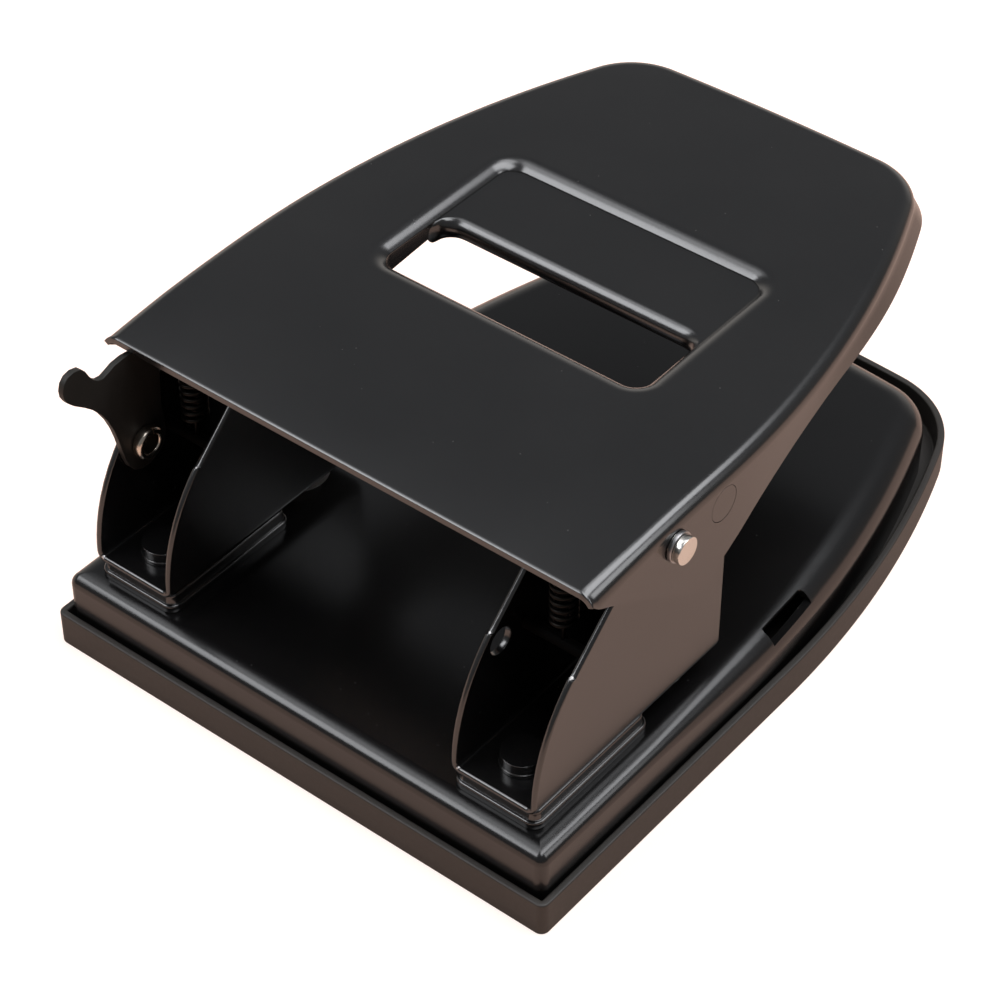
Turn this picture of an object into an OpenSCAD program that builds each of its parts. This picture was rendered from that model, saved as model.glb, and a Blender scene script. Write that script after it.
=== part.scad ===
// Two-hole paper punch: pressed steel base in a chip tray, two U brackets, a wide pressed
// handle on a through pin, two punches driven by a rod, extension return springs, a lock
// plate and a sliding paper guide. Millimetres, +Z up, handle end toward +Y.

/* [Widths] */
// distance between the two bracket centres, which is the hole spacing
pitch = 80; // [70:0.5:90]
// side face of the base outside a bracket centre
base_margin = 13.3; // [12:0.1:18]
// side face of the lever outside a bracket centre
lever_margin = 11.8; // [10.5:0.1:14]
// side face of the tray outside the base
tray_margin = 1.7; // [1.6:0.1:4]
// end of the pivot pin outside the lever
pin_out = 2.3; // [1.5:0.1:4]
// how far the pivot pin stands out of the lever on the left
pin_out_left = 1.2; // [1.1:0.1:4]

/* [Tray] */
// height of the tray wall
tray_h = 7.1; // [5:0.1:10]
// thickness of the tray wall
tray_wall = 1.4; // [1:0.1:2]
// thickness of the tray floor
tray_floor = 1.6; // [1:0.1:2.5]
// length of the straight part of the tray side
tray_side = 69.5; // [55:0.5:80]
// radius of the long side curve of the tray
tray_bow = 201; // [180:1:300]
// angle swept by the long side curve of the tray
tray_bow_a = 19.3; // [15:0.1:25]
// radius of the rear corners of the tray
tray_corner = 20; // [10:0.5:25]

/* [Base] */
// front face of the base behind the front face of the tray
base_front = 1.9; // [1:0.1:4]
// top of the base above the table
base_top = 15.8; // [12:0.1:20]
// sheet thickness of the base
base_sheet = 1.2; // [0.8:0.1:1.6]
// radius of the top edge of the base
base_edge = 3; // [2:0.1:4]
// end of the straight part of the base side
base_side = 60; // [50:1:70]
// radius of the long side curve of the base
base_bow = 221; // [180:1:300]
// angle swept by the long side curve of the base
base_bow_a = 19; // [15:0.5:25]
// radius of the rear corners of the base
base_corner = 12; // [8:0.5:18]
// front end of the guide slot in the base side
slot_y = 67.3; // [62:0.1:72]
// length of the guide slot
slot_l = 13; // [10:0.1:16]
// lower edge of the guide slot above the table
slot_z = 13.6; // [12:0.1:14]

/* [Brackets] */
// outer width of a bracket
br_w = 17.6; // [16:0.2:20]
// radius of the rear top corner of a bracket
back_r = 3; // [2:0.1:5]
// sheet thickness of a bracket
br_t = 1.2; // [1:0.1:2]
// outer bend radius of a bracket
br_bend = 2; // [1.5:0.1:4]
// rear edge of a bracket behind the tray front
br_rear = 56; // [50:0.5:60]
// top of the bracket's rear part below the pivot
back_drop = 11.9; // [9:0.1:14]
// thickness of the plate under a bracket, which is the paper slot height
spacer_t = 3.6; // [3:0.1:5]
// width of the plate under a bracket
spacer_w = 16.5; // [14:0.1:18]
// how far the lower half of that plate stands out
spacer_foot = 0.65; // [0.2:0.05:1]
// thickness of the lower half of that plate
spacer_foot_t = 1.5; // [1:0.1:2]
// front edge of the plate
spacer_front = 6.4; // [6:0.1:10]
// rear edge of the plate, which is the paper stop
spacer_rear = 36; // [30:0.5:40]
// radius of the rivet shank
rivet_r = 2; // [1.5:0.1:2.5]
// radius of the rivet head
rivet_head_r = 3.8; // [3.5:0.1:5]
// height of the rivet head above its step
rivet_head_h = 1.9; // [1:0.1:2.5]
// radius of the step under the rivet head
rivet_step_r = 4; // [3.9:0.1:5]
// height of the step under the rivet head
rivet_step_h = 0.7; // [0.4:0.1:1]
// distance of the front rivet from the tray front
rivet_y1 = 13.4; // [11:0.1:15]
// distance of the rear rivet from the tray front
rivet_y2 = 27.6; // [24:0.1:30]

/* [Lever] */
// front edge of the lever behind the tray front
lever_front = 15.9; // [12:0.1:20]
// top face of the lever above the table
lever_top = 64; // [58:0.1:70]
// drop of the front edge below the top face
lever_drop = 1.7; // [0:0.1:4]
// place where the front slope runs out
lever_slope_end = 32; // [26:0.5:40]
// sheet thickness of the lever
lever_t = 1.4; // [1:0.1:2]
// outer radius of the lever's folded edge
lever_edge = 2.5; // [2:0.1:4]
// radius of the folded edge at the front corners
lever_edge_front = 1.2; // [0.8:0.1:2]
// outward flare of the lever's lower edge round the handle end
lever_flare = 1.6; // [0:0.1:2.5]
// end of the straight side of the lever
lever_side = 50; // [49:0.5:60]
// radius of the long side curve of the lever
lever_bow = 202; // [160:1:240]
// angle swept by the long side curve of the lever
lever_bow_a = 23.3; // [18:0.1:30]
// radius of the rear corners of the lever
lever_corner = 14; // [8:0.5:20]
// width of the pressed panel in the lever top
panel_w = 55.8; // [50:0.1:70]
// front edge of the panel
panel_front = 59.5; // [54:0.1:62]
// rear edge of the panel
panel_rear = 95.6; // [90:0.1:105]
// corner radius of the panel
panel_r = 3.4; // [3:0.1:8]
// radius of the rolled edge round the panel
panel_edge = 3.2; // [2:0.1:5]
// depth of the recessed tongue below the lever top
tongue_drop = 1.2; // [1:0.1:2]
// front of the rolled lip of the tongue
tongue_front = 76; // [70:0.5:85]
// radius of the rounded front edge of the tongue
lip_r = 1.9; // [1.5:0.1:2.5]
// depth of the wall turned down round the opening
rim_h = 5; // [4:0.1:6]

/* [Pivot] */
// distance of the pivot from the tray front
pivot_y = 37; // [34:0.1:40]
// distance of the pivot below the lever top
pivot_drop = 5.8; // [5:0.1:8]
// radius of the pivot pin
pin_r = 2.5; // [2:0.1:3]
// radius of the curved front edge of a bracket
nose_r = 32.1; // [28:0.1:36]
// step at the top of the curved front edge below the pivot
step_drop = 14.82; // [12:0.02:18]
// radius of the bracket head round the pivot
br_head_r = 4; // [3.5:0.1:4.2]
// outer radius of the pin clip
clip_r = 2.8; // [2.7:0.1:3.6]
// thickness of the pin clip
clip_t = 0.8; // [0.5:0.1:1]

/* [Punches] */
// distance of the punch axis behind the paper stop
margin = 12; // [11:0.5:13]
// radius of a punch
punch_r = 3; // [2.75:0.05:3.25]
// bottom of a punch at rest
punch_tip = 19.7; // [19.5:0.05:20]
// radius of the hollow ground across the punch tip
tip_hollow = 7; // [5:0.5:12]
// distance of the drive rod behind the pivot
rod_dy = 12.9; // [12:0.1:15]
// distance of the drive rod below the pivot
rod_dz = 0.3; // [0:0.1:3]
// radius of the drive rod
rod_r = 2; // [1.5:0.1:2.5]
// radius of the flush rod end in the lever side
rod_end_r = 3.35; // [3:0.05:4]
// width of a yoke
yoke_w = 10; // [8:0.5:12]
// bottom of a yoke below the drive rod
yoke_drop = 7.9; // [7:0.1:10]
// height of a yoke
yoke_h = 11; // [10:0.1:11.4]
// radius of the stud that joins punch and yoke
stud_r = 1.8; // [1.2:0.1:2.2]
// height of the stud
stud_h = 2.6; // [2:0.1:3]
// travel of the drive rod along Y over the stroke
rod_sweep = 1.05; // [1:0.01:2.5]
// outer radius of a punch guide
guide_r = 6; // [5:0.1:6.5]
// top of a punch guide
guide_top = 36; // [30:0.5:42]
// radius of the guide spigot in the bracket floor
spigot_r = 4.5; // [4:0.1:5]
// radius of a die at the base top
die_r = 6; // [5:0.1:7]
// radius of the die flange under the base top
die_flange_r = 7.5; // [7:0.1:8]
// thickness of the die flange
die_flange_t = 1.6; // [1:0.1:2]

/* [Springs] */
// distance of the springs behind the lock pivot
spring_dy = 6.6; // [6:0.1:9]
// mean radius of a spring coil
coil_r = 2.1; // [1.8:0.1:2.8]
// radius of the spring wire
wire_r = 0.4; // [0.3:0.05:0.5]
// number of spring turns
turns = 7; // [4:1:8]
// distance from the anchor bar axis up to the spring hanger
spring_span = 19; // [16:0.1:21]
// radius of the anchor bar
anchor_r = 1.1; // [1:0.1:1.2]
// lower face of a spring hanger below the lever top
hanger_drop = 5.2; // [4.6:0.1:7]
// width of a spring hanger
hanger_w = 5; // [4:0.1:6]
// thickness of a spring hanger
hanger_t = 2.6; // [2:0.1:3]
// depth of the spring end in its anchor and hanger
tail = 1.6; // [1:0.1:2]

/* [Lock] */
// thickness of the lock plate
lock_t = 1.2; // [1:0.1:1.6]
// distance of the lock pivot behind the bracket's front step
lock_dy = 2.61; // [2:0.01:6]
// distance of the lock pivot below the bracket's front step
lock_dz = 2.98; // [2.5:0.02:6]
// radius of the eyelet barrel
eyelet_r = 2.6; // [2.2:0.05:3]
// bore radius of the eyelet
eyelet_bore = 1.9; // [1.5:0.1:2.2]
// radius of the eyelet ring on the plate
eyelet_ring_r = 3.1; // [2.9:0.1:4]
// height of the eyelet ring on the plate
eyelet_ring_h = 1.9; // [1.5:0.1:3]
// radius of the eyelet head outside the bracket
eyelet_head_r = 3.4; // [3.2:0.1:4.2]

/* [Guide] */
// width of the paper guide
bar_w = 12; // [10:0.1:12.4]
// thickness of the paper guide
bar_t = 0.8; // [0.6:0.1:0.9]
// underside of the paper guide above the table
bar_z = 13.7; // [13.6:0.05:13.8]
// inner end of the paper guide inside the right side of the base
bar_inset = 7.3; // [5:0.1:20]
// thickness of the grip at the outer end of the guide
grip_t = 1.4; // [1:0.1:1.6]
// depth of the grip below the paper guide
grip_drop = 3; // [2:0.1:4]
// height of the grip
grip_h = 6.4; // [5:0.1:8]
// width of a guide strap
strap_w = 12; // [8:1:16]
// distance of the guide straps from the centre
strap_x = 24; // [18:1:30]
// sheet thickness of a guide strap
strap_t = 1; // [0.8:0.1:1.2]

/* [Fits] */
// radial clearance of fixed fits
fit = 0.03; // [0.01:0.01:0.05]
// radial clearance of running fits
run = 0.06; // [0.03:0.01:0.1]
// side clearance between sliding sheet pieces
slack = 0.1; // [0.05:0.05:0.3]
// clearance round the drive rod in its slot
rod_gap = 0.3; // [0.2:0.05:0.5]

/* [Hidden] */

black = [0.09, 0.09, 0.095];
plastic = [0.05, 0.05, 0.05];
steel = [0.72, 0.72, 0.74];
nickel = [0.62, 0.58, 0.53];
dark = [0.28, 0.28, 0.3];

base_w = pitch + 2 * base_margin;
lever_w = pitch + 2 * lever_margin;
tray_w = base_w + 2 * tray_margin;
pin_l = lever_w + pin_out + pin_out_left;
rear_a = 84;
tray_rear_a = 86;
lever_rear_a = 88;
punch_y = spacer_rear + margin;
floor_z = base_top + spacer_t;
floor_top = floor_z + br_t;
br_in = br_w / 2 - br_t;
pivot_z = lever_top - pivot_drop;
br_back_z = pivot_z - back_drop;
rod_y = pivot_y + rod_dy;
rod_z = pivot_z - rod_dz;
yoke_z = rod_z - yoke_drop;
hanger_z = lever_top - hanger_drop;
anchor_z = hanger_z - spring_span;
base_under = base_top - base_sheet;
slot_mid = slot_y + slot_l / 2;
slot_turn = asin((slot_mid - base_side) / base_bow);
nose_y = 5.5;
nose_z = floor_top + 0.4;
nose_a = asin((pivot_z - step_drop - nose_z) / nose_r);
lock_y = nose_y + nose_r * (1 - cos(nose_a)) + lock_dy;
lock_z = pivot_z - step_drop - lock_dz;
spring_y = lock_y + spring_dy;
flange_x = lever_w / 2;
clip_x = flange_x + slack + clip_t / 2;
lock_x = -pitch / 2 - br_in + slack;
coil_low = anchor_z + anchor_r + 1.2;
coil_high = hanger_z - 1.2;

// rear corner centre and rear arc of a shield outline: [x, y, rear arc centre, rear arc radius]
function rear_arc(hw, side, bow, a1, rc, a2) =
    let (cx = hw - bow * (1 - cos(a1)) - rc * cos(a1))
    let (cy = side + bow * sin(a1) - rc * sin(a1))
    [cx, cy, cy - cx * tan(a2), cx / cos(a2) + rc];

// point of an arc with its outward normal: [x, y, normal x, normal y]
function on_arc(c, r, a) = [c[0] + r * cos(a), c[1] + r * sin(a), cos(a), sin(a)];

// right half of a shield outline from the end of its straight side to the rear
function half_rear(hw, side, bow, a1, rc, a2) =
    let (k = rear_arc(hw, side, bow, a1, rc, a2))
    concat(
        [for (i = [0:12]) on_arc([hw - bow, side], bow, a1 * i / 12)],
        [for (i = [1:8]) on_arc([k[0], k[1]], rc, a1 + (a2 - a1) * i / 8)],
        [for (i = [1:3]) on_arc([0, k[2]], k[3], a2 + (90 - a2) * i / 3.5)]);
function inset(pts, d) = [for (p = pts) [p[0] - d * p[2], p[1] - d * p[3]]];

// right front corner of a shield outline, inset by d
function half_front(hw, front, r, d) =
    let (q = max(r - d, 0.15))
    [for (i = [0:4]) [hw - d - q + q * sin(22.5 * i), front + d + q - q * cos(22.5 * i)]];

// closed outline, counter-clockwise from the right front corner
function both(half) = concat(half, [for (i = [len(half) - 1:-1:0]) [-half[i][0], half[i][1]]]);
tray_rear = half_rear(tray_w / 2, tray_side, tray_bow, tray_bow_a, tray_corner, tray_rear_a);
base_rear = half_rear(base_w / 2, base_side, base_bow, base_bow_a, base_corner, rear_a);
function tray_outline(d) = both(concat(half_front(tray_w / 2, 0, 1.6, d), inset(tray_rear, d)));
function base_outline(d) = both(concat(half_front(base_w / 2, base_front, 1.2, d), inset(base_rear, d)));
function at_z(ring, z) = [for (p = ring) [p[0], p[1], z]];

tray_arc = rear_arc(tray_w / 2, tray_side, tray_bow, tray_bow_a, tray_corner, tray_rear_a);
tray_l = tray_arc[2] + tray_arc[3];

// puts sizes counted from the tray front into the frame centred on the tray
module from_front() {
    translate([0, -tray_l / 2, 0]) children();
}

module at_side(s) {
    translate([s * pitch / 2, 0, 0]) children();
}

// rod along X, centred
module rod_x(r, l) {
    rotate([0, 90, 0]) cylinder(r = r, h = l, center = true, $fn = 64);
}

// plate in the YZ plane, from x to x + t
module plate_x(x, t) {
    translate([x, 0, 0]) rotate([90, 0, 90]) linear_extrude(t) children();
}

module round_rect(w, l, r) {
    square([w - 2 * r, l], center = true);
    square([w, l - 2 * r], center = true);
    for (x = [-1, 1], y = [-1, 1])
        translate([x * (w / 2 - r), y * (l / 2 - r)]) circle(r = r, $fn = 48);
}

module chip_tray() {
    color(plastic) from_front() difference() {
        linear_extrude(tray_h) polygon(tray_outline(0));
        translate([0, 0, tray_floor]) linear_extrude(tray_h) polygon(tray_outline(tray_wall));
    }
}

// thin pan: outer rings, inner rings, rim at the bottom
module pan(outer, inner) {
    n = len(outer[0]);
    m = len(outer);
    k = n * m;
    sides = [for (r = [0:m - 2], i = [0:n - 1]) let (j = (i + 1) % n)
        [r * n + i, (r + 1) * n + i, (r + 1) * n + j, r * n + j]];
    insides = [for (r = [0:m - 2], i = [0:n - 1]) let (j = (i + 1) % n)
        [k + r * n + i, k + r * n + j, k + (r + 1) * n + j, k + (r + 1) * n + i]];
    rim = [for (i = [0:n - 1]) let (j = (i + 1) % n) [i, j, k + j, k + i]];
    top = [[for (i = [n - 1:-1:0]) (m - 1) * n + i]];
    under = [[for (i = [0:n - 1]) k + (m - 1) * n + i]];
    flat = function (v) [for (a = v, b = a) b];
    polyhedron(concat(flat(outer), flat(inner)), concat(sides, insides, rim, top, under));
}

module base_shell() {
    e = base_edge;
    t = base_sheet;
    outer = concat([at_z(base_outline(0), tray_floor)],
        [for (i = [0:5]) at_z(base_outline(e * (1 - cos(18 * i))), base_top - e * (1 - sin(18 * i)))]);
    inner = concat([at_z(base_outline(t), tray_floor)],
        [for (i = [0:5]) at_z(base_outline(e - (e - t) * cos(18 * i)), base_top - e + (e - t) * sin(18 * i))]);
    color(black) from_front() difference() {
        pan(outer, inner);
        for (s = [-1, 1]) at_side(s) {
            translate([0, punch_y, base_under - 1]) cylinder(r = die_r + fit, h = 4, $fn = 64);
            for (y = [rivet_y1, rivet_y2])
                translate([0, y, base_under - 1]) cylinder(r = rivet_r + fit, h = 4, $fn = 48);
        }
        for (s = [-1, 1])
            translate([s * (base_w / 2 - base_bow * (1 - cos(slot_turn))), slot_mid, slot_z + 4])
                rotate([0, 0, s * slot_turn]) cube([2 * base_edge, slot_l, 8], center = true);
    }
}

// side view of a bracket cheek as [y, z]: curved nose, small step, slope to the round head, low rear
module cheek_shape() {
    nose = [for (i = [0:10]) let (a = nose_a * i / 10)
        [nose_y + nose_r * (1 - cos(a)), nose_z + nose_r * sin(a)]];
    step = nose[10];
    head = [for (i = [0:12]) let (a = 135 - 135 * i / 12)
        [pivot_y + br_head_r * cos(a), pivot_z + br_head_r * sin(a)]];
    back = [for (i = [0:8]) let (a = 90 - 90 * i / 8)
        [br_rear - back_r + back_r * cos(a), br_back_z - back_r + back_r * sin(a)]];
    difference() {
        polygon(concat([[nose_y, floor_z]], nose, [[step[0] + 0.6, step[1]]], head,
            [[pivot_y + br_head_r + 3.4, br_back_z]], back, [[br_rear, floor_z]]));
        translate([pivot_y, pivot_z]) circle(r = pin_r + fit, $fn = 64);
    }
}

// cross-section of a bracket as [x, z]: two cheeks joined to the floor by quarter bends
module channel() {
    c = [br_w / 2 - br_bend, floor_z + br_bend];
    high = floor_z + 50;
    bend = function (r) [for (i = [0:8]) [c[0] + r * sin(90 - 11.25 * i), c[1] - r * cos(90 - 11.25 * i)]];
    half = function (r) concat([[c[0] + r, high]], bend(r));
    turned = function (v) [for (i = [len(v) - 1:-1:0]) v[i]];
    mirror_x = function (v) turned([for (q = v) [-q[0], q[1]]]);
    outer = half(br_bend);
    inner = half(br_bend - br_t);
    polygon(concat(outer, mirror_x(outer), turned(mirror_x(inner)), turned(inner)));
}

module bracket(s) {
    color(black) from_front() at_side(s) difference() {
        intersection() {
            translate([0, br_rear, 0]) rotate([90, 0, 0]) linear_extrude(br_rear) channel();
            plate_x(-br_w / 2 - 1, br_w + 2) cheek_shape();
        }
        translate([-br_w / 2, lock_y, lock_z]) rod_x(eyelet_r + fit, 6);
        translate([0, punch_y, floor_z - 1]) cylinder(r = spigot_r + fit, h = br_t + 2, $fn = 64);
        for (y = [rivet_y1, rivet_y2])
            translate([0, y, floor_z - 1]) cylinder(r = rivet_r + fit, h = br_t + 2, $fn = 48);
    }
}

module left_bracket() {
    bracket(-1);
}

module right_bracket() {
    bracket(1);
}

module spacer(s) {
    l = spacer_rear - spacer_front;
    color(black) from_front() at_side(s) difference() {
        translate([0, spacer_front + l / 2, base_top]) {
            linear_extrude(spacer_t) round_rect(spacer_w, l, 1.6);
            linear_extrude(spacer_foot_t)
                round_rect(spacer_w + 2 * spacer_foot, l + 2 * spacer_foot, 1.6 + spacer_foot);
        }
        for (y = [rivet_y1, rivet_y2])
            translate([0, y, base_top - 1]) cylinder(r = rivet_r + fit, h = spacer_t + 2, $fn = 48);
    }
}

module left_spacer() {
    spacer(-1);
}

module right_spacer() {
    spacer(1);
}

module rivets(s) {
    foot_h = 1.2;
    color(black) from_front() at_side(s) for (y = [rivet_y1, rivet_y2]) translate([0, y, 0]) {
        translate([0, 0, base_under - foot_h / 2])
            cylinder(r = rivet_r, h = floor_top - base_under + 1, $fn = 48);
        translate([0, 0, base_under - foot_h]) cylinder(r = 3.4, h = foot_h, $fn = 48);
        translate([0, 0, floor_top]) cylinder(r = rivet_step_r, h = rivet_step_h, $fn = 64);
        translate([0, 0, floor_top]) cylinder(r = rivet_head_r, h = rivet_step_h + rivet_head_h, $fn = 64);
    }
}

module left_rivets() {
    rivets(-1);
}

module right_rivets() {
    rivets(1);
}

module die(s) {
    color(steel) from_front() at_side(s) translate([0, punch_y, 0]) difference() {
        union() {
            translate([0, 0, base_under - die_flange_t]) {
                cylinder(r = die_r, h = base_sheet + die_flange_t, $fn = 64);
                cylinder(r = die_flange_r, h = die_flange_t, $fn = 64);
            }
        }
        translate([0, 0, base_under - 5]) cylinder(r = punch_r + run, h = 10, $fn = 64);
    }
}

module left_die() {
    die(-1);
}

module right_die() {
    die(1);
}

module punch_guide(s) {
    color(steel) from_front() at_side(s) translate([0, punch_y, 0]) difference() {
        union() {
            translate([0, 0, floor_z]) cylinder(r = spigot_r, h = br_t + 1, $fn = 64);
            translate([0, 0, floor_top]) cylinder(r = guide_r, h = guide_top - floor_top, $fn = 64);
        }
        translate([0, 0, floor_z - 1]) cylinder(r = punch_r + run, h = guide_top, $fn = 64);
    }
}

module left_punch_guide() {
    punch_guide(-1);
}

module right_punch_guide() {
    punch_guide(1);
}

module punch(s) {
    color(steel) from_front() at_side(s) translate([0, punch_y, 0]) difference() {
        union() {
            translate([0, 0, punch_tip]) cylinder(r = punch_r, h = yoke_z - punch_tip, $fn = 64);
            translate([0, 0, yoke_z - 1]) cylinder(r = stud_r, h = stud_h + 1, $fn = 48);
        }
        translate([0, 0, punch_tip + 0.7 - tip_hollow]) rod_x(tip_hollow, 20);
    }
}

module left_punch() {
    punch(-1);
}

module right_punch() {
    punch(1);
}

// block with a slot that lets the drive rod swing on its arc, chamfered under the lever
module yoke(s) {
    low = rod_y - rod_sweep - rod_r - rod_gap;
    high = rod_y + rod_r + rod_gap;
    wall = 1.3;
    slot_h = 2 * rod_r + rod_gap;
    top = yoke_z + yoke_h;
    color(steel) from_front() at_side(s) difference() {
        plate_x(-yoke_w / 2, yoke_w) difference() {
            polygon([[low - wall, yoke_z], [high + wall, yoke_z], [high + wall, top - 1],
                [high + wall - 1, top], [low - wall, top]]);
            translate([low, rod_z - slot_h / 2]) square([high - low, slot_h]);
        }
        translate([0, punch_y, yoke_z - 1]) cylinder(r = stud_r + fit, h = stud_h + 1, $fn = 48);
    }
}

module left_yoke() {
    yoke(-1);
}

module right_yoke() {
    yoke(1);
}

// edge of the lever as points with normals: straight side, then the curved rear
side_k = (lever_side - lever_front) / 34.1;
lever_ys = [for (u = [0, 1.6, 4.1, 7.6, 10.6, 14.1, 17.3, 20.6, 23.6, 26.1, 28.1, 29.8, 31.3, 32.8])
    lever_front + side_k * u];
function along(y) = (y - lever_front) / side_k;
lever_half = concat([for (y = lever_ys) [lever_w / 2, y, 1, 0]],
    half_rear(lever_w / 2, lever_side, lever_bow, lever_bow_a, lever_corner, lever_rear_a));
lever_line = concat(lever_half,
    [for (i = [len(lever_half) - 1:-1:0]) let (p = lever_half[i]) [-p[0], p[1], -p[2], p[3]]]);
function lever_z(y) = lever_top - (y < lever_slope_end
    ? lever_drop * pow((lever_slope_end - y) / (lever_slope_end - lever_front), 2) : 0);
function edge_r(y) = lookup(along(y), [[0, lever_edge_front], [10.6, lever_edge]]);
function flare(y) = lever_flare * pow(sin(lookup(along(y), [[44.1, 0], [99.1, 90]])), 2);
// height of the lever's side below its top, deepest at a lobe beside the bracket
function side_h(y) = side_k * lookup(along(y), [
    [0, 1.75], [1.6, 3.2], [4.1, 4.85], [7.6, 7.1], [10.6, 9], [14.1, 11.6], [17.3, 13.9],
    [20.6, 16.2], [23.6, 18.2], [26.1, 19.7], [28.1, 20.5], [29.8, 20.7], [31.3, 20.4], [32.8, 19.6],
    [35.7, 18], [39.3, 16.1], [44.3, 13.2], [49.8, 10.6], [55.3, 8.5], [60.8, 6.9], [66.9, 5.7],
    [73.1, 5.1], [79.1, 5]]);

// one row of points along the lever edge: i = -1 is the lower edge, 0 to 6 climb the fold,
// and t is the depth in the sheet
function lever_row(i, t) = [for (p = lever_line) let (y = p[1], r = max(edge_r(y) - t, 0.1), a = 15 * i,
        d = i < 0 ? t - flare(y) : t + r * (1 - cos(a)),
        z = i < 0 ? lever_z(y) - side_h(y) : lever_z(y) - t - r * (1 - sin(a)))
    [p[0] - d * p[2], y - d * p[3], z]];

module lever_sheet() {
    outer = [for (i = [-1:6]) lever_row(i, 0)];
    inner = [for (i = [-1:6]) lever_row(i, lever_t)];
    n = len(outer[0]);
    m = len(outer);
    k = n * m;
    h = n / 2;
    last = (m - 1) * n;
    out = [for (r = [0:m - 2], i = [0:n - 2]) each [
        [r * n + i, (r + 1) * n + i, (r + 1) * n + i + 1],
        [r * n + i, (r + 1) * n + i + 1, r * n + i + 1]]];
    in = [for (r = [0:m - 2], i = [0:n - 2]) each [
        [k + r * n + i, k + (r + 1) * n + i + 1, k + (r + 1) * n + i],
        [k + r * n + i, k + r * n + i + 1, k + (r + 1) * n + i + 1]]];
    over = [for (i = [0:h - 2]) [last + i, last + n - 1 - i, last + n - 2 - i, last + i + 1]];
    under = [for (i = [0:h - 2]) let (b = k + last) [b + i, b + i + 1, b + n - 2 - i, b + n - 1 - i]];
    rim = [for (i = [0:n - 2]) each [[i, i + 1, k + i + 1], [i, k + i + 1, k + i]]];
    right = [for (r = [0:m - 2]) [r * n, k + r * n, k + (r + 1) * n, (r + 1) * n]];
    left = [for (r = [1:m - 1]) [r * n - 1, (r + 1) * n - 1, k + (r + 1) * n - 1, k + r * n - 1]];
    front = [[last, k + last, k + last + n - 1, last + n - 1]];
    flat = function (v) [for (a = v, b = a) b];
    polyhedron(concat(flat(outer), flat(inner)), concat(out, in, over, under, rim, right, left, front));
}

// one level of the rolled edge round the panel, from the lever top at 0 degrees down to the tongue
roll_a = acos(1 - tongue_drop / panel_edge);
module roll_ring(a) {
    o = panel_edge * (sin(roll_a) - sin(a));
    z = lever_top - panel_edge * (1 - cos(a));
    translate([0, (panel_front + panel_rear) / 2, z]) linear_extrude(a > 0 ? 0.01 : 1)
        round_rect(panel_w + 2 * o, panel_rear - panel_front + 2 * o, panel_r + o);
}

module lever() {
    l = panel_rear - panel_front;
    open_l = tongue_front - panel_front;
    tongue_z = lever_top - tongue_drop;
    color(black) from_front() difference() {
        union() {
            lever_sheet();
            translate([0, panel_front + l / 2, tongue_z - lever_t]) linear_extrude(tongue_drop + lever_t - 0.4)
                round_rect(panel_w + 2 * lever_t, l + 2 * lever_t, panel_r + lever_t);
            translate([0, panel_front + open_l / 2, lever_top - rim_h]) linear_extrude(rim_h - tongue_drop)
                round_rect(panel_w + 2 * lever_t, open_l + 2 * lever_t, panel_r + lever_t);
        }
        translate([0, panel_front + l / 2, tongue_z]) linear_extrude(10) round_rect(panel_w, l, panel_r);
        for (i = [0:4]) hull() {
            roll_ring(roll_a * i / 5);
            roll_ring(roll_a * (i + 1) / 5);
        }
        translate([0, panel_front + open_l / 2, tongue_z - 10]) linear_extrude(20)
            round_rect(panel_w, open_l, panel_r);
        translate([0, tongue_front, tongue_z]) difference() {
            cube([panel_w - 2 * panel_r, 2 * lip_r, 2 * lip_r], center = true);
            translate([0, lip_r, -lip_r]) rod_x(lip_r, panel_w);
        }
        translate([0, pivot_y, pivot_z]) rod_x(pin_r + run, 2 * lever_w);
        translate([0, rod_y, rod_z]) rod_x(rod_end_r + fit, 2 * lever_w);
    }
}

module drive_rod() {
    head = lever_t + slack;
    color(black) from_front() translate([0, rod_y, rod_z]) {
        rod_x(rod_r, lever_w - head);
        for (s = [-1, 1]) translate([s * (flange_x - head / 2), 0, 0]) rod_x(rod_end_r, head);
    }
}

module pivot_pin() {
    color(steel) from_front() translate([0, pivot_y, pivot_z]) difference() {
        translate([(pin_out - pin_out_left) / 2, 0, 0]) rod_x(pin_r, pin_l);
        for (s = [-1, 1]) translate([s * clip_x, 0, 0]) difference() {
            rod_x(pin_r + 1, clip_t + slack);
            rod_x(pin_r - 0.4, clip_t + 1);
        }
    }
}

module pin_clip(s) {
    color(steel) from_front() translate([s * clip_x, pivot_y, pivot_z]) difference() {
        rod_x(clip_r, clip_t);
        rod_x(pin_r - 0.4 + fit, clip_t + 1);
    }
}

module left_pin_clip() {
    pin_clip(-1);
}

module right_pin_clip() {
    pin_clip(1);
}

// centre line of a spring: straight tail, half turn out, coils, half turn in, straight tail
ring_n = 8;
coil_n = turns * ring_n;
function coil_at(u) = let (r = coil_r * min(1, 2 * u / ring_n, 2 * (coil_n - u) / ring_n), a = 360 * u / ring_n)
    [r * cos(a), r * sin(a), coil_low + (coil_high - coil_low) * u / coil_n];
spring_path = concat(
    [[0, 0, anchor_z + anchor_r - tail], [0, 0, coil_low - 0.5]],
    [for (u = [1:coil_n - 1]) coil_at(u)],
    [[0, 0, coil_high + 0.5], [0, 0, hanger_z + tail]]);
spring_gap = min([for (i = [2:len(spring_path) - 3], j = [i + 5:len(spring_path) - 1])
    if (j < len(spring_path)) norm(spring_path[i] - spring_path[j])]) - 2 * wire_r;
echo(spring_gap = spring_gap);

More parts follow.
